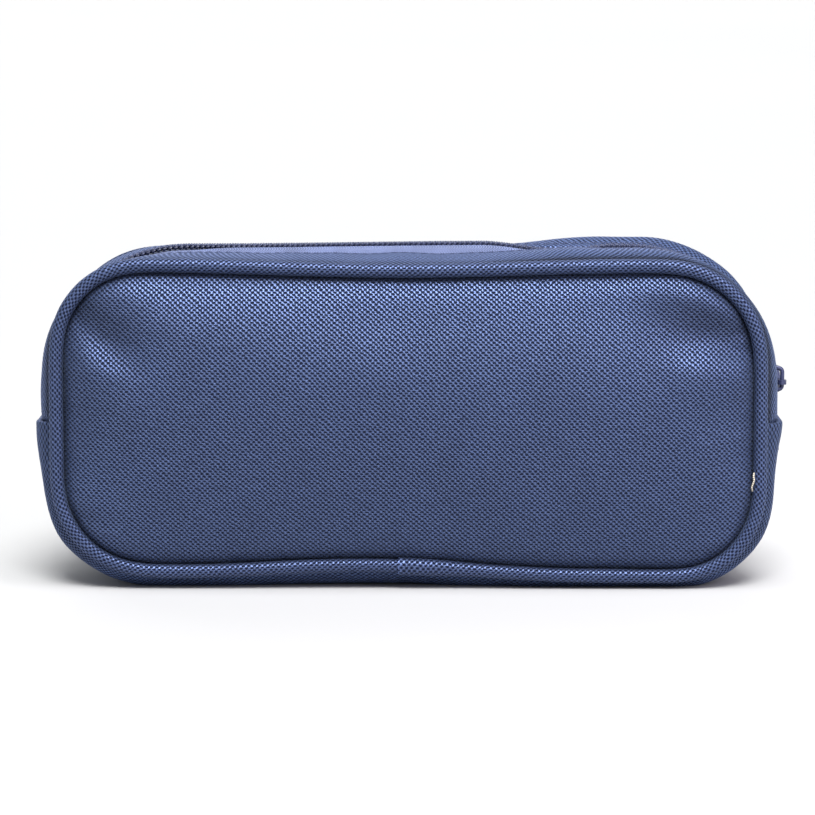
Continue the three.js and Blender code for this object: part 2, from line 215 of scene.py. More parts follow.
def edit_mesh(piece, change):
    """Changes a piece's mesh with bmesh"""
    work = bmesh.new()
    work.from_mesh(piece.data)
    change(work)
    work.to_mesh(piece.data)
    work.free()
    return piece


def facing_out(piece):
    return edit_mesh(piece, lambda work: bmesh.ops.recalc_face_normals(work, faces=work.faces))


def squares(count, width, along, across):
    """Faces between rows of points, each row a ring, and their UVs"""
    faces, uvs = [], []
    for i in range(len(along) - 1):
        row, following = i * width, (i + 1) % count * width
        for j in range(width):
            k = (j + 1) % width
            faces.append((row + j, row + k, following + k, following + j))
            uvs += [(along[i], across[j]), (along[i], across[j + 1]),
                    (along[i + 1], across[j + 1]), (along[i + 1], across[j])]
    return faces, uvs


def loft(name, rows, wrap_rows=False, shade=None):
    """A skin over rows of points, each a ring; the last row meets the first, or both are capped"""
    count, width = rows.shape[:2]
    middle = rows.mean(axis=1)
    along = run_length(np.vstack([middle, middle[:1]]) if wrap_rows else middle)
    across = run_length(np.vstack([rows[0], rows[0, :1]]))
    faces, uvs = squares(count, width, along, across)
    if not wrap_rows:
        last = (count - 1) * width
        faces += [tuple(range(width - 1, -1, -1)), tuple(range(last, last + width))]
        uvs += [(along[0], across[j]) for j in range(width - 1, -1, -1)]
        uvs += [(along[-1], across[j]) for j in range(width)]
    return facing_out(build(name, rows.reshape(-1, 3), faces, uvs, shade=shade))


def tube(name, path, radius, sides, closed=False, side_axis=(0, 1, 0)):
    """A round tube along a path"""
    if closed:
        along = np.roll(path, -1, axis=0) - np.roll(path, 1, axis=0)
    else:
        along = np.gradient(path, axis=0)
    along = unit(along)
    first = unit(np.cross(along, side_axis))
    second = np.cross(along, first)
    turns = np.arange(sides)[:, None] * 2 * math.pi / sides
    ring = first[:, None] * np.cos(turns) + second[:, None] * np.sin(turns)
    radius = np.broadcast_to(radius, len(path))[:, None, None]
    return loft(name, path[:, None] + ring * radius, wrap_rows=closed)


def joined(name, parts):
    """Several pieces as one"""
    work = bmesh.new()
    for part in parts:
        work.from_mesh(part.data)
        bpy.data.objects.remove(part)
    mesh = bpy.data.meshes.new(name)
    work.to_mesh(mesh)
    work.free()
    return link(mesh)


def upright(flat, y):
    """3-D points from [x, z] ones, set at places along Y"""
    return np.stack([flat[..., 0], np.broadcast_to(y, flat.shape[:-1]), flat[..., 1]], axis=-1)


def placed(line, away, y, out):
    """The same, after moving each point outwards"""
    return upright(line + away * np.asarray(out)[..., None], y)


def along_line(points, lengths, distances):
    """Points of a line at distances along it"""
    return np.stack([np.interp(distances, lengths, column) for column in points.T], axis=1)


# ---- materials
class Shader:
    """A material's node tree, with short calls for its nodes"""

    def __init__(self, name, roughness, sheen=0.0, sheen_tint=(1, 1, 1), metallic=0.0,
                 specular=0.5, specular_tint=(1, 1, 1), coat=0.0):
        self.material = bpy.data.materials.new(name)
        self.material.use_nodes = True
        self.nodes = self.material.node_tree.nodes
        self.surface = self.nodes["Principled BSDF"]
        look = {"Roughness": roughness, "Metallic": metallic, "Coat Weight": coat,
                "Specular IOR Level": specular, "Specular Tint": (*specular_tint, 1),
                "Sheen Weight": sheen, "Sheen Tint": (*sheen_tint, 1), "Sheen Roughness": 0.4}
        for socket, value in look.items():
            self.surface.inputs[socket].default_value = value

    def put(self, value, socket):
        if isinstance(value, bpy.types.NodeSocket):
            self.material.node_tree.links.new(value, socket)
        else:
            socket.default_value = value

    def node(self, kind, *values, **settings):
        """A new node with its settings, and values or links for its first inputs"""
        node = self.nodes.new("ShaderNode" + kind)
        for setting, value in settings.items():
            setattr(node, setting, value)
        for value, socket in zip(values, node.inputs):
            self.put(value, socket)
        return node

    def math(self, operation, *values):
        return self.node("Math", *values, operation=operation).outputs[0]

    def add(self, first, second):
        return self.math("ADD", first, second)

    def times(self, first, second):
        return self.math("MULTIPLY", first, second)

    def wave(self, turns):
        """The cosine of a number of half turns"""
        return self.math("COSINE", self.times(turns, math.pi))

    def cloth_place(self):
        """Distances along and across the cloth, in millimetres, and both as one vector"""
        split = self.node("SeparateXYZ", self.node("UVMap", uv_map="cloth").outputs["UV"])
        along, across = [self.times(split.outputs[axis], 1 / MM) for axis in (0, 1)]
        return along, across, self.vector(along, across)

    def vector(self, x, y):
        return self.node("CombineXYZ", x, y).outputs[0]

    # Reads the painted shading layer: painted shade below 1, painted light above 1
    def painted_shading(self):
        return self.node("Attribute", attribute_name="painted_shading").outputs["Fac"]

    def object_place(self):
        return self.node("TexCoord").outputs["Object"]

    def noise(self, place, size, detail=2.0):
        """Noise from 0 to 1; size is the lumps' size in the place's own unit"""
        node = self.node("TexNoise", place)
        node.inputs["Scale"].default_value = 1 / size
        node.inputs["Detail"].default_value = detail
        return node.outputs["Fac"]

    def between(self, *values):
        """A smooth step: the value, where it starts and ends, and what it gives there"""
        return self.node("MapRange", *values, interpolation_type="SMOOTHSTEP").outputs[0]

    def mix(self, share, first, second):
        node = self.node("Mix", share, data_type="RGBA")
        for value, socket in ((first, node.inputs[6]), (second, node.inputs[7])):
            self.put((*value, 1) if isinstance(value, tuple) else value, socket)
        return node.outputs[2]

    def tinted(self, colour, factor):
        """A colour made darker or lighter by a number"""
        node = self.node("VectorMath", colour, operation="SCALE")
        self.put(factor, node.inputs["Scale"])
        return node.outputs[0]

    def colour(self, value):
        self.put(value, self.surface.inputs["Base Color"])

    def roughness(self, value):
        self.put(value, self.surface.inputs["Roughness"])

    def bump(self, height, depth_mm):
        node = self.node("Bump")
        node.inputs["Distance"].default_value = depth_mm * MM
        self.put(height, node.inputs["Height"])
        self.put(node.outputs[0], self.surface.inputs["Normal"])


THREAD_ACROSS = 0.805  # half the weave's repeat along the cloth
THREAD_UP = 0.725  # distance between its rows
# Painted shade: the nearly black colour of the hollows between the threads
WEAVE_HOLLOW_SHADE = (0.003, 0.006, 0.022)
WEAVE_ROUGHNESS = 0.45


def woven(name, thread, depth_mm):
    """Basket-weave polyester: raised threads in slanting lines with painted highlights on their
    crests, round hollows darkened with painted shade
    """
    cloth = Shader(name, WEAVE_ROUGHNESS, sheen=0.12, sheen_tint=(0.55, 0.70, 1.0),
                   metallic=0.55, specular=0.9, specular_tint=(0.60, 0.66, 1.0))
    along, across, place = cloth.cloth_place()
    waver = cloth.times(cloth.add(cloth.noise(place, 3.0), -0.5), 0.7)
    u = cloth.times(cloth.add(along, waver), 1 / THREAD_ACROSS)
    v = cloth.times(cloth.add(across, waver), 1 / THREAD_UP)
    leaning = cloth.times(cloth.wave(cloth.add(u, v)), 0.55)
    rising = cloth.times(cloth.wave(cloth.math("SUBTRACT", u, v)), 0.45)
    rows = cloth.times(cloth.wave(cloth.times(v, 2.0)), -0.24)
    grain = cloth.add(cloth.noise(cloth.vector(along, cloth.times(across, 1.8)), 0.5, 3.0), -0.5)
    lattice = cloth.add(cloth.add(leaning, rising), rows)
    height = cloth.add(lattice, cloth.times(grain, 1.5))
    raised = cloth.between(height, -0.70, 0.48)
    # Painted highlight: the threads' crests are mixed towards a colour 2.3 times lighter
    painted_highlight = cloth.between(height, 0.25, 1.0)
    streaks = cloth.noise(cloth.vector(cloth.times(along, 0.12), cloth.times(across, 1.1)), 1.0)
    patches = cloth.noise(place, 18.0)
    shade = cloth.add(cloth.times(streaks, 0.45), cloth.times(patches, 0.25))
    base = cloth.mix(raised, WEAVE_HOLLOW_SHADE, thread)
    base = cloth.mix(cloth.times(painted_highlight, 0.75), base, tuple(2.3 * part for part in thread))
    # Random streaks and patches of tone, times the painted shading layer
    depth = cloth.times(cloth.add(shade, 0.65), cloth.painted_shading())
    cloth.colour(cloth.tinted(base, depth))
    cloth.roughness(cloth.between(raised, 0, 1, 0.95, WEAVE_ROUGHNESS))
    cloth.bump(raised, depth_mm)
    return cloth.material


def taped(name, thread, hollow):
    """Fine herringbone tape"""
    cloth = Shader(name, 0.5, sheen=0.3, sheen_tint=(0.75, 0.82, 1.0))
    along, across, place = cloth.cloth_place()
    zigzag = cloth.math("PINGPONG", across, 1.3)
    rib = cloth.wave(cloth.times(cloth.add(along, zigzag), 2 / 0.8))
    height = cloth.add(rib, cloth.noise(place, 0.4))
    raised = cloth.between(height, -0.4, 1.1)
    # Painted shade: the hollows between the ribs take the darker colour
    base = cloth.mix(raised, hollow, thread)
    cloth.colour(cloth.tinted(base, cloth.add(cloth.noise(place, 9.0), 0.55)))
    cloth.bump(raised, 0.07)
    return cloth.material


def spun(name, light, dark, pitch, turns):
    """Twisted yarn: plies that run round a tube at a slant"""
    yarn = Shader(name, 0.8, sheen=0.4)
    along, across, place = yarn.cloth_place()
    ply = yarn.wave(yarn.add(yarn.times(along, 2 / pitch), yarn.times(across, 2 * turns)))
    raised = yarn.between(yarn.add(ply, yarn.noise(place, 0.3)), -0.6, 1.2)
    # Painted shade: the grooves between the plies take the darker colour
    yarn.colour(yarn.mix(raised, dark, light))
    yarn.bump(raised, 0.12)
    return yarn.material


def moulded(name, colour, roughness, grain, metallic=0.0, coat=0.0):
    """Nylon or enamel with a faint uneven surface, rubbed lighter where it is worn"""
    solid = Shader(name, roughness, metallic=metallic, coat=coat)
    place = solid.object_place()
    cloudy = solid.noise(place, 6 * MM, 4.0)
    specks = solid.noise(place, grain * MM)
    worn = tuple(1.7 * part + 0.02 for part in colour)
    rub = solid.between(solid.times(cloudy, solid.add(specks, 0.5)), 0.45, 0.8)
    solid.colour(solid.mix(rub, colour, worn))
    solid.roughness(solid.between(cloudy, 0.3, 0.7, roughness - 0.06, roughness + 0.12))
    solid.bump(specks, 0.02)
    return solid.material


MATERIALS = {name: make(name, *values) for make, name, *values in (
    (woven, "woven_polyester", (0.047, 0.071, 0.150), 0.3),
    (woven, "piping_cover", (0.050, 0.073, 0.152), 0.2),
    (spun, "piping_filler", (0.74, 0.72, 0.66), (0.35, 0.33, 0.29), 2.4, 0.14),
    (taped, "seam_binding", (0.035, 0.045, 0.10), (0.010, 0.014, 0.035)),
    (taped, "zip_tape", (0.135, 0.172, 0.33), (0.050, 0.070, 0.155)),
    (moulded, "zip_coil", (0.016, 0.022, 0.060), 0.38, 0.5),
    (moulded, "zip_slider", (0.020, 0.026, 0.075), 0.30, 0.4, 0.35, 0.4),
    (moulded, "zip_stop", (0.020, 0.026, 0.075), 0.34, 0.4, 0.35, 0.3),
    (spun, "sewing_thread", (0.090, 0.115, 0.23), (0.020, 0.028, 0.07), 0.7, 0.4),
    (spun, "cream_thread", (0.66, 0.61, 0.50), (0.34, 0.30, 0.23), 0.6, 0.4),
)}


def finish_as(piece, material):
    piece.data.materials.clear()
    piece.data.materials.append(MATERIALS[material])


def across_lip(piece):
    """Bakes the piece's placement into its mesh"""
    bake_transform(piece)


# ---- camera, light and floor
def aim(name, data, place, target=(0, 0, 0)):
    """Puts a camera or a lamp at a place, looking at a target"""
    thing = bpy.data.objects.new(name, data)
    thing.location = place
    thing.rotation_euler = (Vector(target) - Vector(place)).to_track_quat("-Z", "Y").to_euler()
    bpy.context.scene.collection.objects.link(thing)
    return thing


def add_camera():
    elevation, distance, field = math.radians(7.0), 1.176, 0.241
    target = Vector((-0.0003, -SEAM_Y * MM, 0.0544))
    lens = bpy.data.cameras.new("camera")
    lens.sensor_width = 36
    lens.lens = lens.sensor_width * distance / field
    lens.clip_end = 100
    offset = Vector((0, -math.cos(elevation), math.sin(elevation))) * distance
    bpy.context.scene.camera = aim("camera", lens, target + offset, target)


def add_light(name, kind, place, strength, colour=(1, 1, 1), target=(0, 0, 0), **shape):
    lamp = bpy.data.lights.new(name, kind)
    lamp.energy = strength
    lamp.color = colour
    for setting, value in shape.items():
        setattr(lamp, setting, value)
    aim(name, lamp, place, target)


def add_studio():
    wide = math.radians(60)
    add_light("front_light", "SUN", (0.06, -0.74, 0.97), 3.3, angle=math.radians(24))
    add_light("top_light", "SUN", (0.1, -0.35, 1.0), 2.7, angle=math.radians(45))
    add_light("back_light", "SUN", (-0.25, 0.9, 0.55), 1.2, (0.97, 0.98, 1.0), angle=wide)
    add_light("low_light", "SUN", (-0.1, -1.0, 0.12), 0.12, angle=wide)
    add_light("side_light", "AREA", (0.42, -0.36, 0.30), 1.5, (0.98, 0.89, 1.0),
              target=(0.07, 0, 0.06), size=0.3)
    world = bpy.data.worlds.new("studio")
    world.use_nodes = True
    sky = world.node_tree.nodes["Background"].inputs
    sky["Color"].default_value = (0.90, 0.94, 1.0, 1)
    sky["Strength"].default_value = 0.25
    bpy.context.scene.world = world
    bpy.context.scene.view_settings.view_transform = "Standard"


def add_floor():
    far = 30.0
    mesh = bpy.data.meshes.new("floor")
    corners = [(-far, -far, 0), (far, -far, 0), (far, far, 0), (-far, far, 0)]
    mesh.from_pydata(corners, [], [(0, 1, 2, 3)])
    floor = link(mesh)
    paper = Shader("floor", 0.9, specular=0.1)
    clouds = paper.noise(paper.object_place(), 2.5)
    paper.colour(paper.mix(clouds, (0.47, 0.47, 0.47), (0.49, 0.49, 0.487)))
    floor.data.materials.append(paper.material)


# ---- panels
PANEL_INSET = 1.5
PANEL_EDGE_DEPTH = 1.5  # how far the panel's sewn edge lies behind the piping's middle
PANEL_CELL = 2.0
PANEL_RISE = 3.7  # from the sewn edge to the panel's face
PANEL_THICKNESS = 1.0
CLOTH_SCALE = 10  # the cloth is simulated this much larger, where its springs behave
CLOTH_FRAMES = 20
CLOTH_CAP = 10.0  # the furthest that a point may move, in millimetres
CLOTH_PRESSURE = {"front": 26.0, "back": 22.0}

# Creases of the two faces, in millimetres: rise, [x, z] of the deep end, [x, z] of the faint
# end, width, and the share of the length after which it fades
CREASES = {
    "front": [
        (-2.8, (-101, 83), (-68, 64), 5.2, 0.35),
        (1.3, (-99, 70), (-70, 48), 6.0, 0.45),
        (-3.2, (104, 73), (62, 79), 5.2, 0.35),
        (-1.3, (104, 69.5), (88, 71), 1.5, 0.4),
        (0.9, (104, 73.5), (90, 74.5), 1.3, 0.4),
        (1.5, (104, 63), (72, 62), 5.6, 0.5),
    ],
    "back": [
        (-2.0, (100, 80), (66, 66), 4.4, 0.35),
        (-1.8, (-102, 68), (-64, 74), 4.6, 0.35),
        (-1.2, (-98, 24), (-70, 34), 4.0, 0.3),
    ],
}
# The flanks of the deepest creases that get painted shade, laid out in the same way but for the
# rise
PAINTED_SHADE_FLANKS = {
    "front": [((-101, 87), (-73, 69), 4.8, 0.35), ((103, 77), (64, 82), 4.8, 0.35)],
    "back": [((100, 84), (68, 70), 4.6, 0.35)],
}
# Round dents: rise, [x, z] of the middle, width and height
DENTS = {"front": [(-0.8, (-99, 46), 5, 8), (1.0, (-58, 80), 18, 9)], "back": []}
TOP_LEAN = {"front": 2.6, "back": 0.0}  # how far a panel's upper part leans in
PUCKER_SEED = {"front": 3, "back": 11}


def panel_net(boundary):
    """Points and faces that fill a closed outline: a square net with a fitted rim"""
    low, high = boundary.min(axis=0), boundary.max(axis=0)
    columns = np.arange(low[0] + PANEL_CELL / 2, high[0], PANEL_CELL)
    rows = np.arange(low[1] + PANEL_CELL / 2, high[1], PANEL_CELL)
    grid = np.stack(np.meshgrid(columns, rows), axis=-1).reshape(-1, 2)
    grid = grid[inside(grid, boundary) & (rim_distance(grid, boundary) > 0.6 * PANEL_CELL)]
    points = np.vstack([boundary, grid])
    edges = [(i, (i + 1) % len(boundary)) for i in range(len(boundary))]
    cut = geometry.delaunay_2d_cdt([Vector(p) for p in points], edges, [], 1, 1e-5)
    return np.array([tuple(p) for p in cut[0]]), cut[2]


def inside(points, boundary):
    """Which points lie inside a closed outline"""
    x, y = points[:, :1], points[:, 1:]
    (x0, y0), (x1, y1) = boundary.T, np.roll(boundary, -1, axis=0).T
    rise = np.where(y1 == y0, 1e-9, y1 - y0)
    crossing = x0 + (y - y0) * (x1 - x0) / rise
    return (((y0 > y) != (y1 > y)) & (x < crossing)).sum(axis=1) % 2 == 1


def rim_distance(points, boundary):
    """The distance from each point to a closed outline"""
    along = np.roll(boundary, -1, axis=0) - boundary
    reach = np.maximum((along ** 2).sum(axis=1), 1e-12)
    nearest = np.full(len(points), np.inf)
    for origin, span, length in zip(boundary, along, reach):
        share = np.clip(((points - origin) @ span) / length, 0, 1)
        gap = np.linalg.norm(points - origin - share[:, None] * span, axis=1)
        nearest = np.minimum(nearest, gap)
    return nearest


def crease(flat, start, end, width, fade):
    """A valley from one [x, z] point to another, 1 deep at its start, fading along its length"""
    span = np.subtract(end, start)
    length = np.linalg.norm(span)
    x, z = (flat - start).T
    along = (x * span[0] + z * span[1]) / length ** 2
    aside = (z * span[0] - x * span[1]) / length
    ends = smooth_step(along, -0.15, 0.12) * (1 - smooth_step(along, fade, 1.0))
    spread = width * (0.55 + 0.75 * np.clip(along, 0, 1))
    return np.exp(-0.5 * (aside / spread) ** 2) * ends


def dent(flat, place, width, height):
    return np.exp(-0.5 * (((flat - place) / [width, height]) ** 2).sum(axis=1))


def relief(side, flat, rim):
    """How far the creases, dents and puckers of a face stand out"""
    away, z = np.abs(flat[:, 0]), flat[:, 1]
    lines = sum(rise * crease(flat, *line) for rise, *line in CREASES[side])
    spots = sum(rise * dent(flat, *spot) for rise, *spot in DENTS[side])
    lean = smooth_step(z, 54, 98) * (1 - 0.7 * smooth_step(away, 60, 92))
    return lines + spots - TOP_LEAN[side] * lean + edge_puckers(flat, rim, PUCKER_SEED[side])


def edge_puckers(flat, rim, seed):
    """Small folds that run in from the seam, closest together at the ends"""
    points, away = upright(flat, 0.0), np.abs(flat[:, 0])
    fan = soft_noise(points * [0.2, 1, 1], 5.0, seed) * smooth_step(away, 58, 96)
    ripple = soft_noise(points * [1, 1, 0.3], 11.0, seed + 1) * (1 - smooth_step(away, 60, 90))
    near = np.exp(-rim / 9.0) * smooth_step(rim, 0.0, 3.0)
    broad = soft_noise(points, 34.0, seed + 2) * smooth_step(rim, 2.0, 16.0)
    return near * (1.5 * fan + 0.15 * ripple) + 0.8 * broad


def inflated(flat, faces, rim, side):
    """How each point of a flat net moves when it is sewn down at its rim and filled from
    behind: [x, z, outwards], in millimetres"""
    mesh = bpy.data.meshes.new(f"{side}_cloth")
    start = upright(flat, 0.4 * smooth_step(rim, 0, 20))
    mesh.from_pydata((start * MM * CLOTH_SCALE).tolist(), [], faces)
    cloth_piece = link(mesh)
    pins = cloth_piece.vertex_groups.new(name="sewn")
    pins.add([int(i) for i in np.flatnonzero(rim < 0.05)], 1.0, "REPLACE")
    cloth = cloth_piece.modifiers.new("cloth", "CLOTH")
    settings = cloth.settings
    settings.vertex_group_mass = "sewn"
    settings.effector_weights.gravity = 0
    settings.use_pressure = True
    settings.uniform_pressure_force = CLOTH_PRESSURE[side]
    settings.shear_stiffness = 5
    settings.bending_stiffness = 0.9
    cloth.point_cache.frame_start, cloth.point_cache.frame_end = 1, CLOTH_FRAMES
    for number in range(1, CLOTH_FRAMES + 1):
        bpy.context.scene.frame_set(number)
    ready = cloth_piece.evaluated_get(bpy.context.evaluated_depsgraph_get())
    place = np.array([vertex.co for vertex in ready.data.vertices]) / (MM * CLOTH_SCALE)
    bpy.context.scene.frame_set(1)
    bpy.data.objects.remove(cloth_piece)
    move = place - upright(flat, 0.0)
    move[:, 1] = np.abs(move[:, 1])
    length = np.linalg.norm(move, axis=1, keepdims=True)
    return move * np.minimum(1, CLOTH_CAP / np.maximum(length, 1e-6))


def add_panel(side):
    hand = HAND[side]
    seam = SEAMS[side]
    boundary = seam - outward(seam) * PANEL_INSET
    flat, faces = panel_net(boundary)
    rim = rim_distance(flat, boundary)
    points = upright(flat, 0.0)
    points += inflated(flat, faces, rim, side)
    points[:, 1] += SEAM_Y - PANEL_EDGE_DEPTH + PANEL_RISE * (1 - np.exp(-rim / 1.9))
    points[:, 1] += relief(side, flat, rim) * smooth_step(rim, 0.0, 2.5)
    points[:, 1] *= hand
    uvs = [flat[corner] for face in faces for corner in face]
    # Painted shade: the panel darkens in the groove at its sewn edge and on the flanks of its
    # deepest creases
    painted_flank_shade = sum(crease(flat, *line) for line in PAINTED_SHADE_FLANKS[side])
    shade = (0.25 + 0.75 * smooth_step(rim, 0.4, 3.0)) * (1 - 0.35 * painted_flank_shade)
    panel = build(f"{side}_panel", points, faces, uvs, 180, shade)
    turn_to(panel, hand)
    square_up(panel)
    thicken(panel, PANEL_THICKNESS)
    finish_as(panel, "woven_polyester")
    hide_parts(f"{side}_panel_lower", f"{side}_panel_upper")
    across_lip(panel)


def turn_to(piece, hand):
    """Makes an open sheet's faces look along -Y for hand -1 and +Y for hand 1"""
    def turn(work):
        if sum(face.normal.y * face.calc_area() for face in work.faces) * hand < 0:
            bmesh.ops.reverse_faces(work, faces=work.faces)

    edit_mesh(piece, turn)


def square_up(piece):
    """Joins pairs of triangles into squares"""
    limit = math.radians(30)
    edit_mesh(piece, lambda work: bmesh.ops.join_triangles(
        work, faces=work.faces, angle_face_threshold=limit, angle_shape_threshold=limit))


def thicken(piece, thickness_mm):
    """Gives an open sheet its thickness on the inner side, and smooths it"""
    fine = piece.modifiers.new("smooth", "SUBSURF")
    fine.levels = fine.render_levels = 1
    solid = piece.modifiers.new("thickness", "SOLIDIFY")
    solid.thickness = thickness_mm * MM
    solid.offset = -1
    apply_modifiers(piece)


def apply_modifiers(piece):
    bpy.context.view_layer.update()
    ready = piece.evaluated_get(bpy.context.evaluated_depsgraph_get())
    mesh = bpy.data.meshes.new_from_object(ready)
    piece.modifiers.clear()
    piece.data = mesh
    mesh.polygons.foreach_set("use_smooth", [True] * len(mesh.polygons))


# ---- piping
JOINT_X = -3.0  # where the piping's ends overlap, under the plain face
JOINT_LENGTH = 25.0
JOINT_SWELL = 0.62
JOINT_TUCK = 6.0
CORD_PLIES = 3
CORD_TWIST = 4.2  # length of a ply's full turn
PLY_RADIUS = 0.58
PLY_OFFSET = 0.5


def from_joint(loop):
    """The loop and its outward directions, opened at the piping's joint and running on past
    its start by the tucked length"""
    bottom = np.arange(len(loop)) > HALF_LOOP
    start = int(np.argmin(np.abs(loop[:, 0] - JOINT_X) + 1e6 * ~bottom))
    line, out = np.roll(loop, -start, axis=0), np.roll(outward(loop), -start, axis=0)
    extra = int(np.searchsorted(run_length(line), JOINT_TUCK))
    return np.vstack([line, line[:extra]]), np.vstack([out, out[:extra]])


def add_piping(side):
    hand = HAND[side]
    line, out = from_joint(SEAMS[side])
    lengths = run_length(line)
    swell = JOINT_SWELL * (1 - smooth_step(lengths, 0.25 * JOINT_LENGTH, JOINT_LENGTH))
    uneven = soft_noise(upright(line, lengths), 14.0, 5 + hand)
    radius = PIPING_RADIUS + swell + 0.06 * uneven
    turns = np.arange(PIPING_SIDES) * 2 * math.pi / PIPING_SIDES
    skins = []
    for wall in (0.0, PIPING_WALL):
        r = (radius - wall)[:, None]
        y, push = hand * SEAM_Y + r * np.sin(turns), r * np.cos(turns)
        skins.append(placed(line[:, None], out[:, None], y, push))
    # Painted shade: the piping's cover darkens on its rear half, tucked against the panel and the
    # band
    facing = 0.25 + 0.75 * smooth_step(hand * np.sin(turns), -0.85, 0.05)
    shade = np.repeat(facing[None, :], len(line), axis=0)
    # Painted highlight: the cut edge of the overlap is made lighter
    shade[0] *= 1.9  # the cut edge of the overlap catches the light
    cover = sleeve(f"{side}_piping_cover", *skins, along=lengths, shade=shade)
    finish_as(cover, "piping_cover")
    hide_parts(f"{side}_piping_cover_lower", f"{side}_piping_cover_upper")
    across_lip(cover)
    add_piping_cord(side)


def sleeve(name, outer, inner, along, shade):
    """A tube with a wall, open at both ends"""
    count, sides = outer.shape[:2]
    girth = np.arange(sides + 1) * 2 * math.pi * PIPING_RADIUS / sides
    faces, uvs = squares(count, sides, along, girth)
    skip = count * sides
    faces += [tuple(skip + corner for corner in face[::-1]) for face in faces[::-1]]
    uvs += uvs[::-1]
    for row, order in ((0, 1), (count - 1, -1)):
        for j in range(sides):
            near, far = row * sides + j, row * sides + (j + 1) % sides
            faces.append((near, far, skip + far, skip + near)[::order])
            uvs += [(along[row], girth[j])] * 4
    points = np.vstack([outer.reshape(-1, 3), inner.reshape(-1, 3)])
    return facing_out(build(name, points, faces, uvs, shade=[shade, shade]))


def add_piping_cord(side):
    seam = SEAMS[side]
    out = outward(seam)
    twist = 2 * math.pi * run_length(seam) / CORD_TWIST
    plies = []
    for ply in range(CORD_PLIES):
        turn = twist + ply * 2 * math.pi / CORD_PLIES
        y = HAND[side] * SEAM_Y + PLY_OFFSET * np.sin(turn)
        path = placed(seam, out, y, PLY_OFFSET * np.cos(turn))
        plies.append(tube(f"{side}_ply_{ply}", path, PLY_RADIUS, 6, closed=True))
    cord = joined(f"{side}_piping_cord", plies)
    finish_as(cord, "piping_filler")
    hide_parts(f"{side}_piping_cord_lower", f"{side}_piping_cord_upper")
    across_lip(cord)


# ---- gusset and zip strips
# The points of a loop that each band covers, from its right-hand end
GUSSET_RUN = np.arange(HALF_LOOP, 2 * HALF_LOOP + 1) % len(BASE_LOOP)
STRIP_RUN = np.arange(-4, HALF_LOOP + 5) % len(ZIP_LOOP)
ZIP_LINE = ZIP_LOOP[STRIP_RUN, :1], ZIP_LOOP[STRIP_RUN, 1:]
FLOOR_GAP = 0.02
HEM_TURN_STEPS = 6
HEM_DROPS = (2.5, 5.0, 8.0)  # the rows of the hem's inner run, below the end of its turn
# A strip's folded edge over the top, its rise before the closed end, and its height at the ends
STRIP_CROWN = {"front": (2.6, 1.5, 6.2), "back": (3.4, 0.0, 5.9)}
STRIP_BOW = {"front": 0.3, "back": 2.4}
HEM_WIDTH = 5.0
FACE_COLUMNS = 20
STITCH_PITCH = 2.9
STITCH_PLACES = np.array([0.10, 0.22, 0.5, 0.78, 0.90])  # shares of the pitch
STITCH_RISE = np.array([-0.22, 0.06, 0.13, 0.06, -0.22])[:, None]


def shoulder(y, shape=STRIP_SHOULDER):
    """The rise of a crowned band from its seam, 0, to its middle, 1"""
    flat_y, power = shape
    slope = np.clip((np.abs(y) - flat_y) / (GUSSET_EDGE_Y - flat_y), 0, 1)
    return 1 - slope ** power


def from_edge(y):
    """Distances from a band's nearer edge"""
    return GUSSET_EDGE_Y - np.abs(y)


def seam_dive(y):
    """How far a band's edge sinks beside the piping"""
    return 2.5 * np.exp(-np.clip(from_edge(y), 0, None) / 1.3)


def painted_shading(y):
    """Painted shade: a band's colour is darkest in the seam beside the piping"""
    return 0.1 + 0.9 * smooth_step(from_edge(y), 2.5, 4.2)


def band_rows(base, y, out, run):
    """Rows of points of a band at places along Y, each pushed out from a line that lies between
    the base loop, in the middle, and the seam on its own side"""
    columns = []
    for place, push in np.broadcast(y, out):
        seam = SEAMS["front" if place < 0 else "back"]
        share = smooth_step(abs(place), 6.0, GUSSET_EDGE_Y - 1)
        line = base * (1 - share) + seam * share
        away = outward(base) * (1 - share) + outward(seam) * share
        columns.append(placed(line[run], away[run], place, push))
    return np.stack(columns, axis=1)


def push_out(rows, amount, base, run):
    """Moves a band's rows along the base loop's outward direction"""
    away = outward(base)[run]
    rows[..., 0] += away[:, None, 0] * amount
    rows[..., 2] += away[:, None, 1] * amount
    return rows


def ripples(rows, size, seed):
    return soft_noise(rows.reshape(-1, 3) / [1, 1.6, 1], size, seed).reshape(rows.shape[:2])


def gusset_settle(rows):
    """How the lower gusset leans in above its corners and flares out at its folded ends"""
    x, z = rows[..., 0], rows[..., 2]
    flare = np.where(x > 0, 0.8, 0.1) * smooth_step(z, 40, MOUTH_END)
    return smooth_step(np.abs(x), 88, 100) * (flare - 1.5 * hump(z, 29, 17))


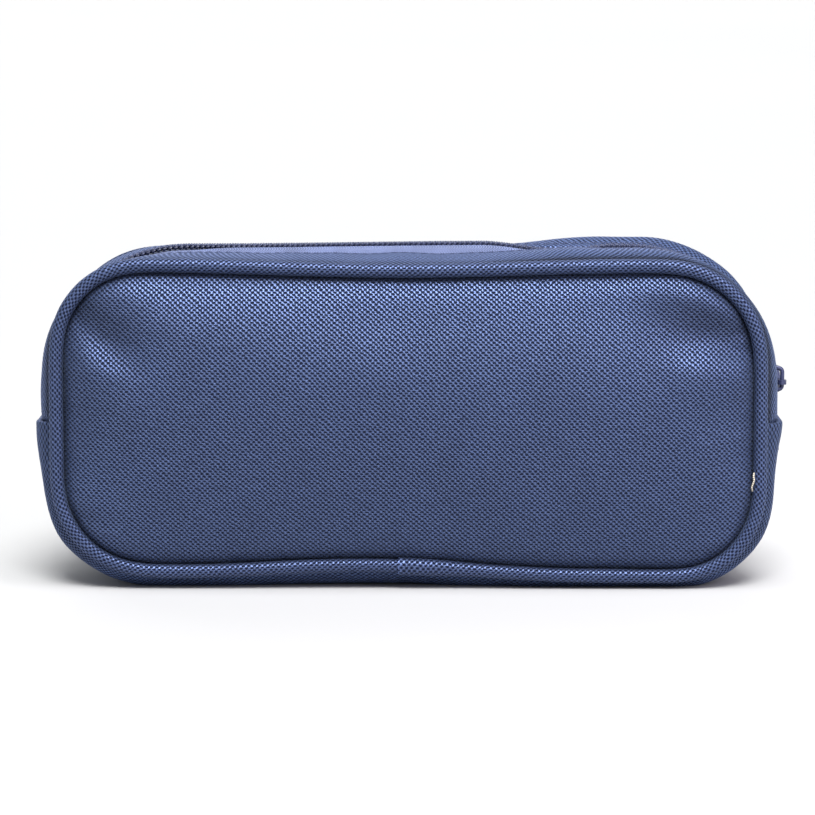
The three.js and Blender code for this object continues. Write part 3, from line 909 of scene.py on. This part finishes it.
def add_lower_gusset():
    y = np.linspace(-GUSSET_EDGE_Y, GUSSET_EDGE_Y, 45)
    out = SEAM_RISE + (GUSSET_CROWN - SEAM_RISE) * shoulder(y, GUSSET_SHOULDER) - seam_dive(y)
    out = np.concatenate([out, out[::-1] - FABRIC])
    rows = band_rows(BASE_LOOP, np.concatenate([y, y[::-1]]), out, GUSSET_RUN)
    lowest = np.repeat([FLOOR_GAP, FLOOR_GAP + FABRIC], len(y))
    y = rows[..., 1]
    soft = 0.4 * ripples(rows, 16.0, 21) * smooth_step(np.abs(y), 8, 14)
    settled = gusset_settle(rows) * smooth_step(from_edge(y), 0, 8)
    rows = push_out(rows, soft + settled, BASE_LOOP, GUSSET_RUN)
    rows[..., 2] = np.maximum(rows[..., 2], lowest)
    # Painted shade darkens the band beside the piping, and painted light lightens its lowest few
    # millimetres by the floor
    shade = 0.8 + 0.2 * painted_shading(y) + 0.9 * (1 - smooth_step(rows[..., 2], 2, 9))
    gusset = loft("lower_gusset_cloth", rows, shade=shade)
    ends = [gusset_hem("right", rows[-1]), gusset_hem("left", rows[0])]
    whole = joined("lower_gusset_band", [gusset, *ends])
    whole.data.set_sharp_from_angle(angle=math.radians(50))
    finish_as(whole, "woven_polyester")
    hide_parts("lower_gusset")
    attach(whole, "case_base")


def gusset_hem(name, edge):
    """The doubled end of the gusset: its cloth turned round over the edge and run back inside"""
    half = len(edge) // 2
    outer, inner = edge[:half], edge[half:][::-1]
    wall = inner - outer
    under = inner + 1.05 * wall
    fold = []
    for turn in np.linspace(0, math.pi, HEM_TURN_STEPS + 1):
        out = 0.5 * (1 + math.cos(turn))
        row = outer * out + under * (1 - out) - wall * 0.12 * math.sin(turn)
        row[:, 2] += 0.55 * math.sin(turn)
        fold.append(row)
    skin = np.array(fold + [fold[-1] - [0, 0, drop] for drop in HEM_DROPS])
    lining = skin - 0.9 * wall
    centre = 0.5 * (outer + inner + 0.5 * wall)
    lining[:len(fold)] = 0.5 * (skin[:len(fold)] + centre)
    return loft(f"hem_{name}", np.concatenate([skin, lining[:, ::-1]], axis=1))


def strip_crown(side):
    """The height of a strip's folded edge, row by row: it stands up at the ends, lies low over
    the middle and rises again before the closed end"""
    x, z = ZIP_LINE
    top = smooth_step(z, 54, 90)
    low, rise, far = STRIP_CROWN[side]
    closed_end = np.where(x > 0, 0.5, 0.0)
    return (far + closed_end) * (1 - top) + (low + rise * smooth_step(x, 12, 50)) * top


def strip_bow(side):
    """How far a strip bulges between its fold and its seam, before the closed end"""
    x, z = ZIP_LINE
    return STRIP_BOW[side] * smooth_step(x, 22, 52) * smooth_step(z, 62, 88)


def chain_settle(x, z):
    """How far the zip hangs below its own line over the top: most where the strips close over
    it, before the closed end"""
    open_part = 0.8 * smooth_step(z, 80, 96) * (1 - smooth_step(x, -62, 26))
    covered = (2.1 - 1.25 * smooth_step(x, 49, 61)) * smooth_step(x, 22, 44)
    return open_part + covered * smooth_step(z, 80, 94)


def strip_section():
    """Places along Y round a strip's face, folded edge, turned-in hem and back, each one's
    share of the crown, and its drop"""
    fold = 0.5 * FABRIC + 0.3
    start, hem_end = STRIP_FOLD_Y + fold, STRIP_FOLD_Y + HEM_WIDTH
    turns = np.linspace(0.5 * math.pi, 1.5 * math.pi, 9)[1:-1]
    face = np.linspace(GUSSET_EDGE_Y, start, FACE_COLUMNS)
    hem = np.linspace(start, hem_end, 5)
    back = np.linspace(hem_end, GUSSET_EDGE_Y, 9)
    y = [face, start + fold * np.cos(turns), hem, back]
    share = [shoulder(face), np.ones(len(turns)), shoulder(hem), shoulder(back)]
    drop = [seam_dive(face), fold - fold * np.sin(turns), np.full(len(hem), 2 * fold),
            fold + seam_dive(back)]
    return [np.concatenate(part) for part in (y, share, drop)]


def strip_lift(rows):
    """Small waves along the strips, strongest at their folded edges"""
    free = 1 - smooth_step(np.abs(rows[..., 1]), 8.0, 20.0)
    return (0.12 + 0.30 * free) * ripples(rows, 12.0, 31)


def add_zip_strip(side):
    y, share, drop = strip_section()
    rows = band_rows(ZIP_LOOP, HAND[side] * y, 0.0, STRIP_RUN)
    height = SEAM_RISE + (strip_crown(side) - SEAM_RISE) * share - drop
    height = height + strip_bow(side) * hump(y, 14.5, 7.0)
    rows = push_out(rows, height + strip_lift(rows) - tuck(len(rows)), ZIP_LOOP, STRIP_RUN)
    # Painted shade darkens the strip beside the piping, and painted light makes it up to a third
    # lighter further from the seam
    shade = painted_shading(rows[..., 1]) * (1 + 0.35 * smooth_step(from_edge(rows[..., 1]), 3, 7))
    strip = loft(f"{side}_zip_facing", rows, shade=shade)
    finish_as(strip, "woven_polyester")
    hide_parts(f"{side}_zip_strip")
    across_lip(strip)
    add_strip_stitches(side, rows)


def tuck(count):
    """How far the zip's ends sink, row by row, to pass under the gusset's folded ends"""
    rows = np.arange(count)
    end = np.minimum(rows, count - 1 - rows)
    return (1.3 * (1 - smooth_step(end, 2.0, 7.0)))[:, None]


def add_strip_stitches(side, rows):
    """The row of stitches that holds the strip to the zip's tape, beside its folded edge"""
    column = FACE_COLUMNS - 3
    line = rows[6:-6, column]
    lift = unit(np.cross(rows[6:-6, column + 1] - line, np.gradient(line, axis=0)))
    lift *= np.sign(lift[:, 2:].mean())
    lengths = run_length(line)
    parts = []
    for number in range(int(lengths[-1] // STITCH_PITCH)):
        places = (number + STITCH_PLACES) * STITCH_PITCH
        path = along_line(line, lengths, places)
        path += along_line(lift, lengths, places) * STITCH_RISE
        parts.append(tube(f"{side}_stitch_{number}", path, 0.17, 6))
    stitches = joined(f"{side}_zip_stitching", parts)
    finish_as(stitches, "sewing_thread")
    across_lip(stitches)


# ---- zip
TAPE_MIDDLE = 3.35
TAPE_HALF_THICKNESS = 0.25
TAPE_WELT = 0.85  # the tape stands up this far beside the coil over the top
COIL_PITCH = 1.54
COIL_WIRE = 0.36
COIL_CENTRE_Y = 1.42
COIL_HALF_WIDTH = 1.28
COIL_HALF_HEIGHT = 0.40
COIL_CENTRE_OUT = 4.45
COIL_STEPS = 12  # points in each turn of the coil
TAPE_NEAR_Y = 0.35
TAPE_FAR_Y = 12.8
ZIP_RUN = run_length(ZIP_LOOP[:HALF_LOOP + 1])
COIL_START = corners_mm("bottom_stop")[1][2] - MOUTH_END + 0.4
COIL_LENGTH = ZIP_RUN[-1] - 2 * COIL_START


def add_zip_tape(side):
    """The tape, which runs level under the coil and then up or down to the strip's underside"""
    y = np.concatenate([np.linspace(TAPE_NEAR_Y, 5.6, 15), np.linspace(6.1, TAPE_FAR_Y, 14)])
    edge_cord = 0.10 * np.exp(-((y - TAPE_NEAR_Y) / 0.8) ** 2)
    level = np.concatenate([TAPE_HALF_THICKNESS + edge_cord,
                            np.full(len(y), -TAPE_HALF_THICKNESS)])
    y = np.concatenate([y, y[::-1]])
    x, z = ZIP_LINE
    under = strip_crown(side) - 1.5 - 2 * TAPE_HALF_THICKNESS
    share = smooth_step(y, 3.9, STRIP_FOLD_Y + 0.9)
    rows = band_rows(ZIP_LOOP, HAND[side] * y, 0.0, STRIP_RUN)
    middle = TAPE_MIDDLE - chain_settle(x, z)
    height = middle + (under - middle) * share + level
    welt = smooth_step(z, 80, 95) * smooth_step(x, -68, -52)
    height = height + TAPE_WELT * welt * hump(y, 3.6, 1.2)
    wave = strip_lift(rows) * share
    rows = push_out(rows, height + wave - tuck(len(rows)), ZIP_LOOP, STRIP_RUN)
    tape = loft(f"{side}_zip_cloth", rows)
    finish_as(tape, "zip_tape")
    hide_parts(f"{side}_zip_tape")
    across_lip(tape)


def on_zip(distances, y, out):
    """Points over the zip's loop, at distances from its right-hand end"""
    spots = along_line(ZIP_LOOP[:HALF_LOOP + 1], ZIP_RUN, distances)
    away = unit(along_line(outward(ZIP_LOOP)[:HALF_LOOP + 1], ZIP_RUN, distances))
    return placed(spots, away, y, COIL_CENTRE_OUT - chain_settle(*spots.T) + out)


def add_coil(side):
    hand = HAND[side]
    turns = COIL_LENGTH / COIL_PITCH
    phase = np.linspace(0, turns, int(turns * COIL_STEPS)) * 2 * math.pi
    distances = COIL_START + COIL_PITCH * phase / (2 * math.pi)
    phase = phase + (math.pi if hand > 0 else 0.0)
    inwards = np.cos(phase)
    y = hand * (COIL_CENTRE_Y - COIL_HALF_WIDTH * inwards)
    path = on_zip(distances, y, COIL_HALF_HEIGHT * np.sin(phase))
    head = 1 + 0.18 * np.clip(inwards, 0, 1) ** 4
    coil = tube(f"{side}_zip_chain", path, COIL_WIRE * head, 8, side_axis=(0.15, 0.3, 0.9))
    finish_as(coil, "zip_coil")
    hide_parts(f"{side}_zip_coil")
    across_lip(coil)
    add_coil_stitches(side)


def add_coil_stitches(side):
    """The thread that sews the coil to its tape, over each turn"""
    half_pitch = COIL_PITCH / 2
    steps = np.arange(int(COIL_LENGTH / half_pitch) * 4)
    lift = 0.24 * np.abs(np.sin(steps * math.pi / 4))
    path = on_zip(COIL_START + steps / 4 * half_pitch, HAND[side] * (COIL_CENTRE_Y + 0.35),
                  COIL_HALF_HEIGHT + 0.12 + lift)
    thread = tube(f"{side}_coil_thread", path, 0.14, 5)
    finish_as(thread, "sewing_thread")
    across_lip(thread)


# ---- metal pieces
def rounded(piece, width_mm, segments=3):
    edge = piece.modifiers.new("edge", "BEVEL")
    edge.width = width_mm * MM
    edge.segments = segments
    edge.limit_method = "ANGLE"
    edge.angle_limit = math.radians(35)
    apply_modifiers(piece)
    piece.data.set_sharp_from_angle(angle=math.radians(50))
    return piece


def prism(name, outline, low, high):
    """A plate in the YZ plane: [y, z] points, from one x to another"""
    count = len(outline)
    points = [(low, y, z) for y, z in outline] + [(high, y, z) for y, z in outline]
    faces = [tuple(range(count)), tuple(range(2 * count - 1, count - 1, -1))]
    faces += [(i, (i + 1) % count, count + (i + 1) % count, count + i) for i in range(count)]
    uvs = [(points[corner][1], points[corner][2]) for face in faces for corner in face]
    return facing_out(build(name, points, faces, uvs))


def add_stops():
    for node in ("front_top_stop", "back_top_stop", "bottom_stop"):
        (x, y, z), (x_end, y_end, z_end) = corners_mm(node)
        outline = [(y, z), (y_end, z), (y_end, z_end), (y, z_end)]
        stop = rounded(prism(f"{node}_clip", outline, x, x_end), 0.35)
        finish_as(stop, "zip_stop")
        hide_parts(node)
        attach(stop, "case_base")


def smooth_line(points, steps):
    """A Catmull-Rom line through points"""
    points = np.array(points, float)
    ends = np.vstack([2 * points[0] - points[1], points, 2 * points[-1] - points[-2]])
    line = []
    for a, b, c, d in zip(ends, ends[1:], ends[2:], ends[3:]):
        for step in range(steps):
            t = step / steps
            line.append(0.5 * (2 * b + (c - a) * t + (2 * a - 5 * b + 4 * c - d) * t ** 2
                               + (3 * b - a - 3 * c + d) * t ** 3))
    line.append(points[-1])
    return np.array(line)


def add_slider():
    low, high = corners_mm("slider_body")
    half_width, middle_z = high[1], (low[2] + high[2]) / 2
    bottom, top = low[2], high[2]
    wing_top = ZIP_HALF_LENGTH + 6.7
    wing_bottom = ZIP_HALF_LENGTH + 5.8
    under_top = ZIP_HALF_LENGTH + 1.5
    under_bottom = ZIP_HALF_LENGTH + 0.5
    tail = 3.6
    half = [(0.9, bottom + 0.9), (2.6, bottom), (half_width, bottom + 1.9),
            (half_width, middle_z), (tail, top - 0.9), (2.7, top)]
    outline = half + [(-y, z) for y, z in reversed(half)]
    post = [(-0.8, bottom + 0.4), (0.8, bottom + 0.4), (0.8, bottom + 2.3), (-0.8, bottom + 2.3)]
    parts = [rounded(prism("slider_top", outline, wing_bottom, wing_top), 0.32),
             rounded(prism("slider_under", outline, under_bottom, under_top), 0.32),
             prism("slider_post", post, under_top - 0.3, wing_bottom + 0.3)]
    rail = [(half_width - 0.6, bottom + 1.9), *half[2:5], (tail - 0.5, top - 0.9),
            (half_width - 0.6, middle_z)]
    for hand in (1, -1):
        side_rail = prism("slider_rail", [(hand * y, z) for y, z in rail],
                          wing_bottom - 1.7, wing_bottom + 0.3)
        parts.append(rounded(side_rail, 0.15))
    parts.append(slider_bridge(wing_top, middle_z, high[0]))
    body = joined("slider_shell", parts)
    body.data.set_sharp_from_angle(angle=math.radians(50))
    finish_as(body, "zip_slider")
    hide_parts("slider_body")
    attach(body, "slider")


def slider_bridge(wing_top, middle_z, outermost):
    """The D-shaped loop that holds the pull"""
    wire, reach = 0.65, 3.6
    bar = outermost - wire
    half = [(wing_top - 0.4, reach - 0.1), (wing_top + 0.7, reach - 0.05),
            (bar - 0.35, reach - 0.75), (bar, 1.6)]
    points = [(x, -z) for x, z in half] + [(bar, 0.0)] + half[::-1]
    line = smooth_line([(x, 0, middle_z + z) for x, z in points], 5)
    return tube("slider_bridge", line, wire, 14)


def add_pull():
    cad_pull = bpy.data.objects["pull_tab"]
    mesh = cad_pull.data.copy()
    mesh.name = "pull_plate"
    mesh.transform(cad_pull.matrix_world)
    plate = rounded(link(mesh), 0.25)
    finish_as(plate, "zip_slider")
    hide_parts("pull_tab")
    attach(plate, "pull")


# ---- inside the seams
def add_binding(side):
    """Tape folded over the raw edges of the seam"""
    near, far = np.sort(np.abs([corner[1] for corner in corners_mm(f"{side}_seam_binding_lower")]))
    far -= 0.1
    root, tip, wall = -2.4, -12.0, 0.45
    middle, half = (near + far) / 2, (far - near) / 2
    thin = half - wall
    turns = np.linspace(0, math.pi, 9)
    y = np.array([far, *(middle + half * np.cos(turns)), near,
                  near + wall, *(middle - thin * np.cos(turns)), far - wall])
    out = [root, *(tip + half - half * np.sin(turns)), root,
           root, *(tip + half - thin * np.sin(turns)), root]
    seam = SEAMS[side]
    rows = placed(seam[:, None], outward(seam)[:, None], HAND[side] * y, out)
    binding = loft(f"{side}_binding_tape", rows, wrap_rows=True)
    finish_as(binding, "seam_binding")
    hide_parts(f"{side}_seam_binding_lower", f"{side}_seam_binding_upper")
    across_lip(binding)


def add_loose_thread():
    """The end of a thread caught in the groove beside the piping at the right-hand end"""
    x, y = SEAM_HALF_LENGTH - PIPING_RADIUS, -SEAM_Y - 1.6
    points = [(x + 0.2, y + 0.4, 35.0), (x + 0.0, y - 0.5, 34.1), (x + 0.12, y - 0.75, 32.9),
              (x - 0.25, y - 0.7, 31.7), (x - 0.5, y - 0.45, 30.6), (x - 0.2, y + 0.3, 29.6)]
    thread = tube("caught_thread", smooth_line(points, 6), 0.24, 8)
    finish_as(thread, "cream_thread")
    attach(thread, "case_base")


add_camera()
add_studio()
add_floor()
for side in ("front", "back"):
    add_panel(side)
    add_piping(side)
    add_binding(side)
    add_zip_strip(side)
    add_zip_tape(side)
    add_coil(side)
add_lower_gusset()
add_stops()
add_slider()
add_pull()
add_loose_thread()
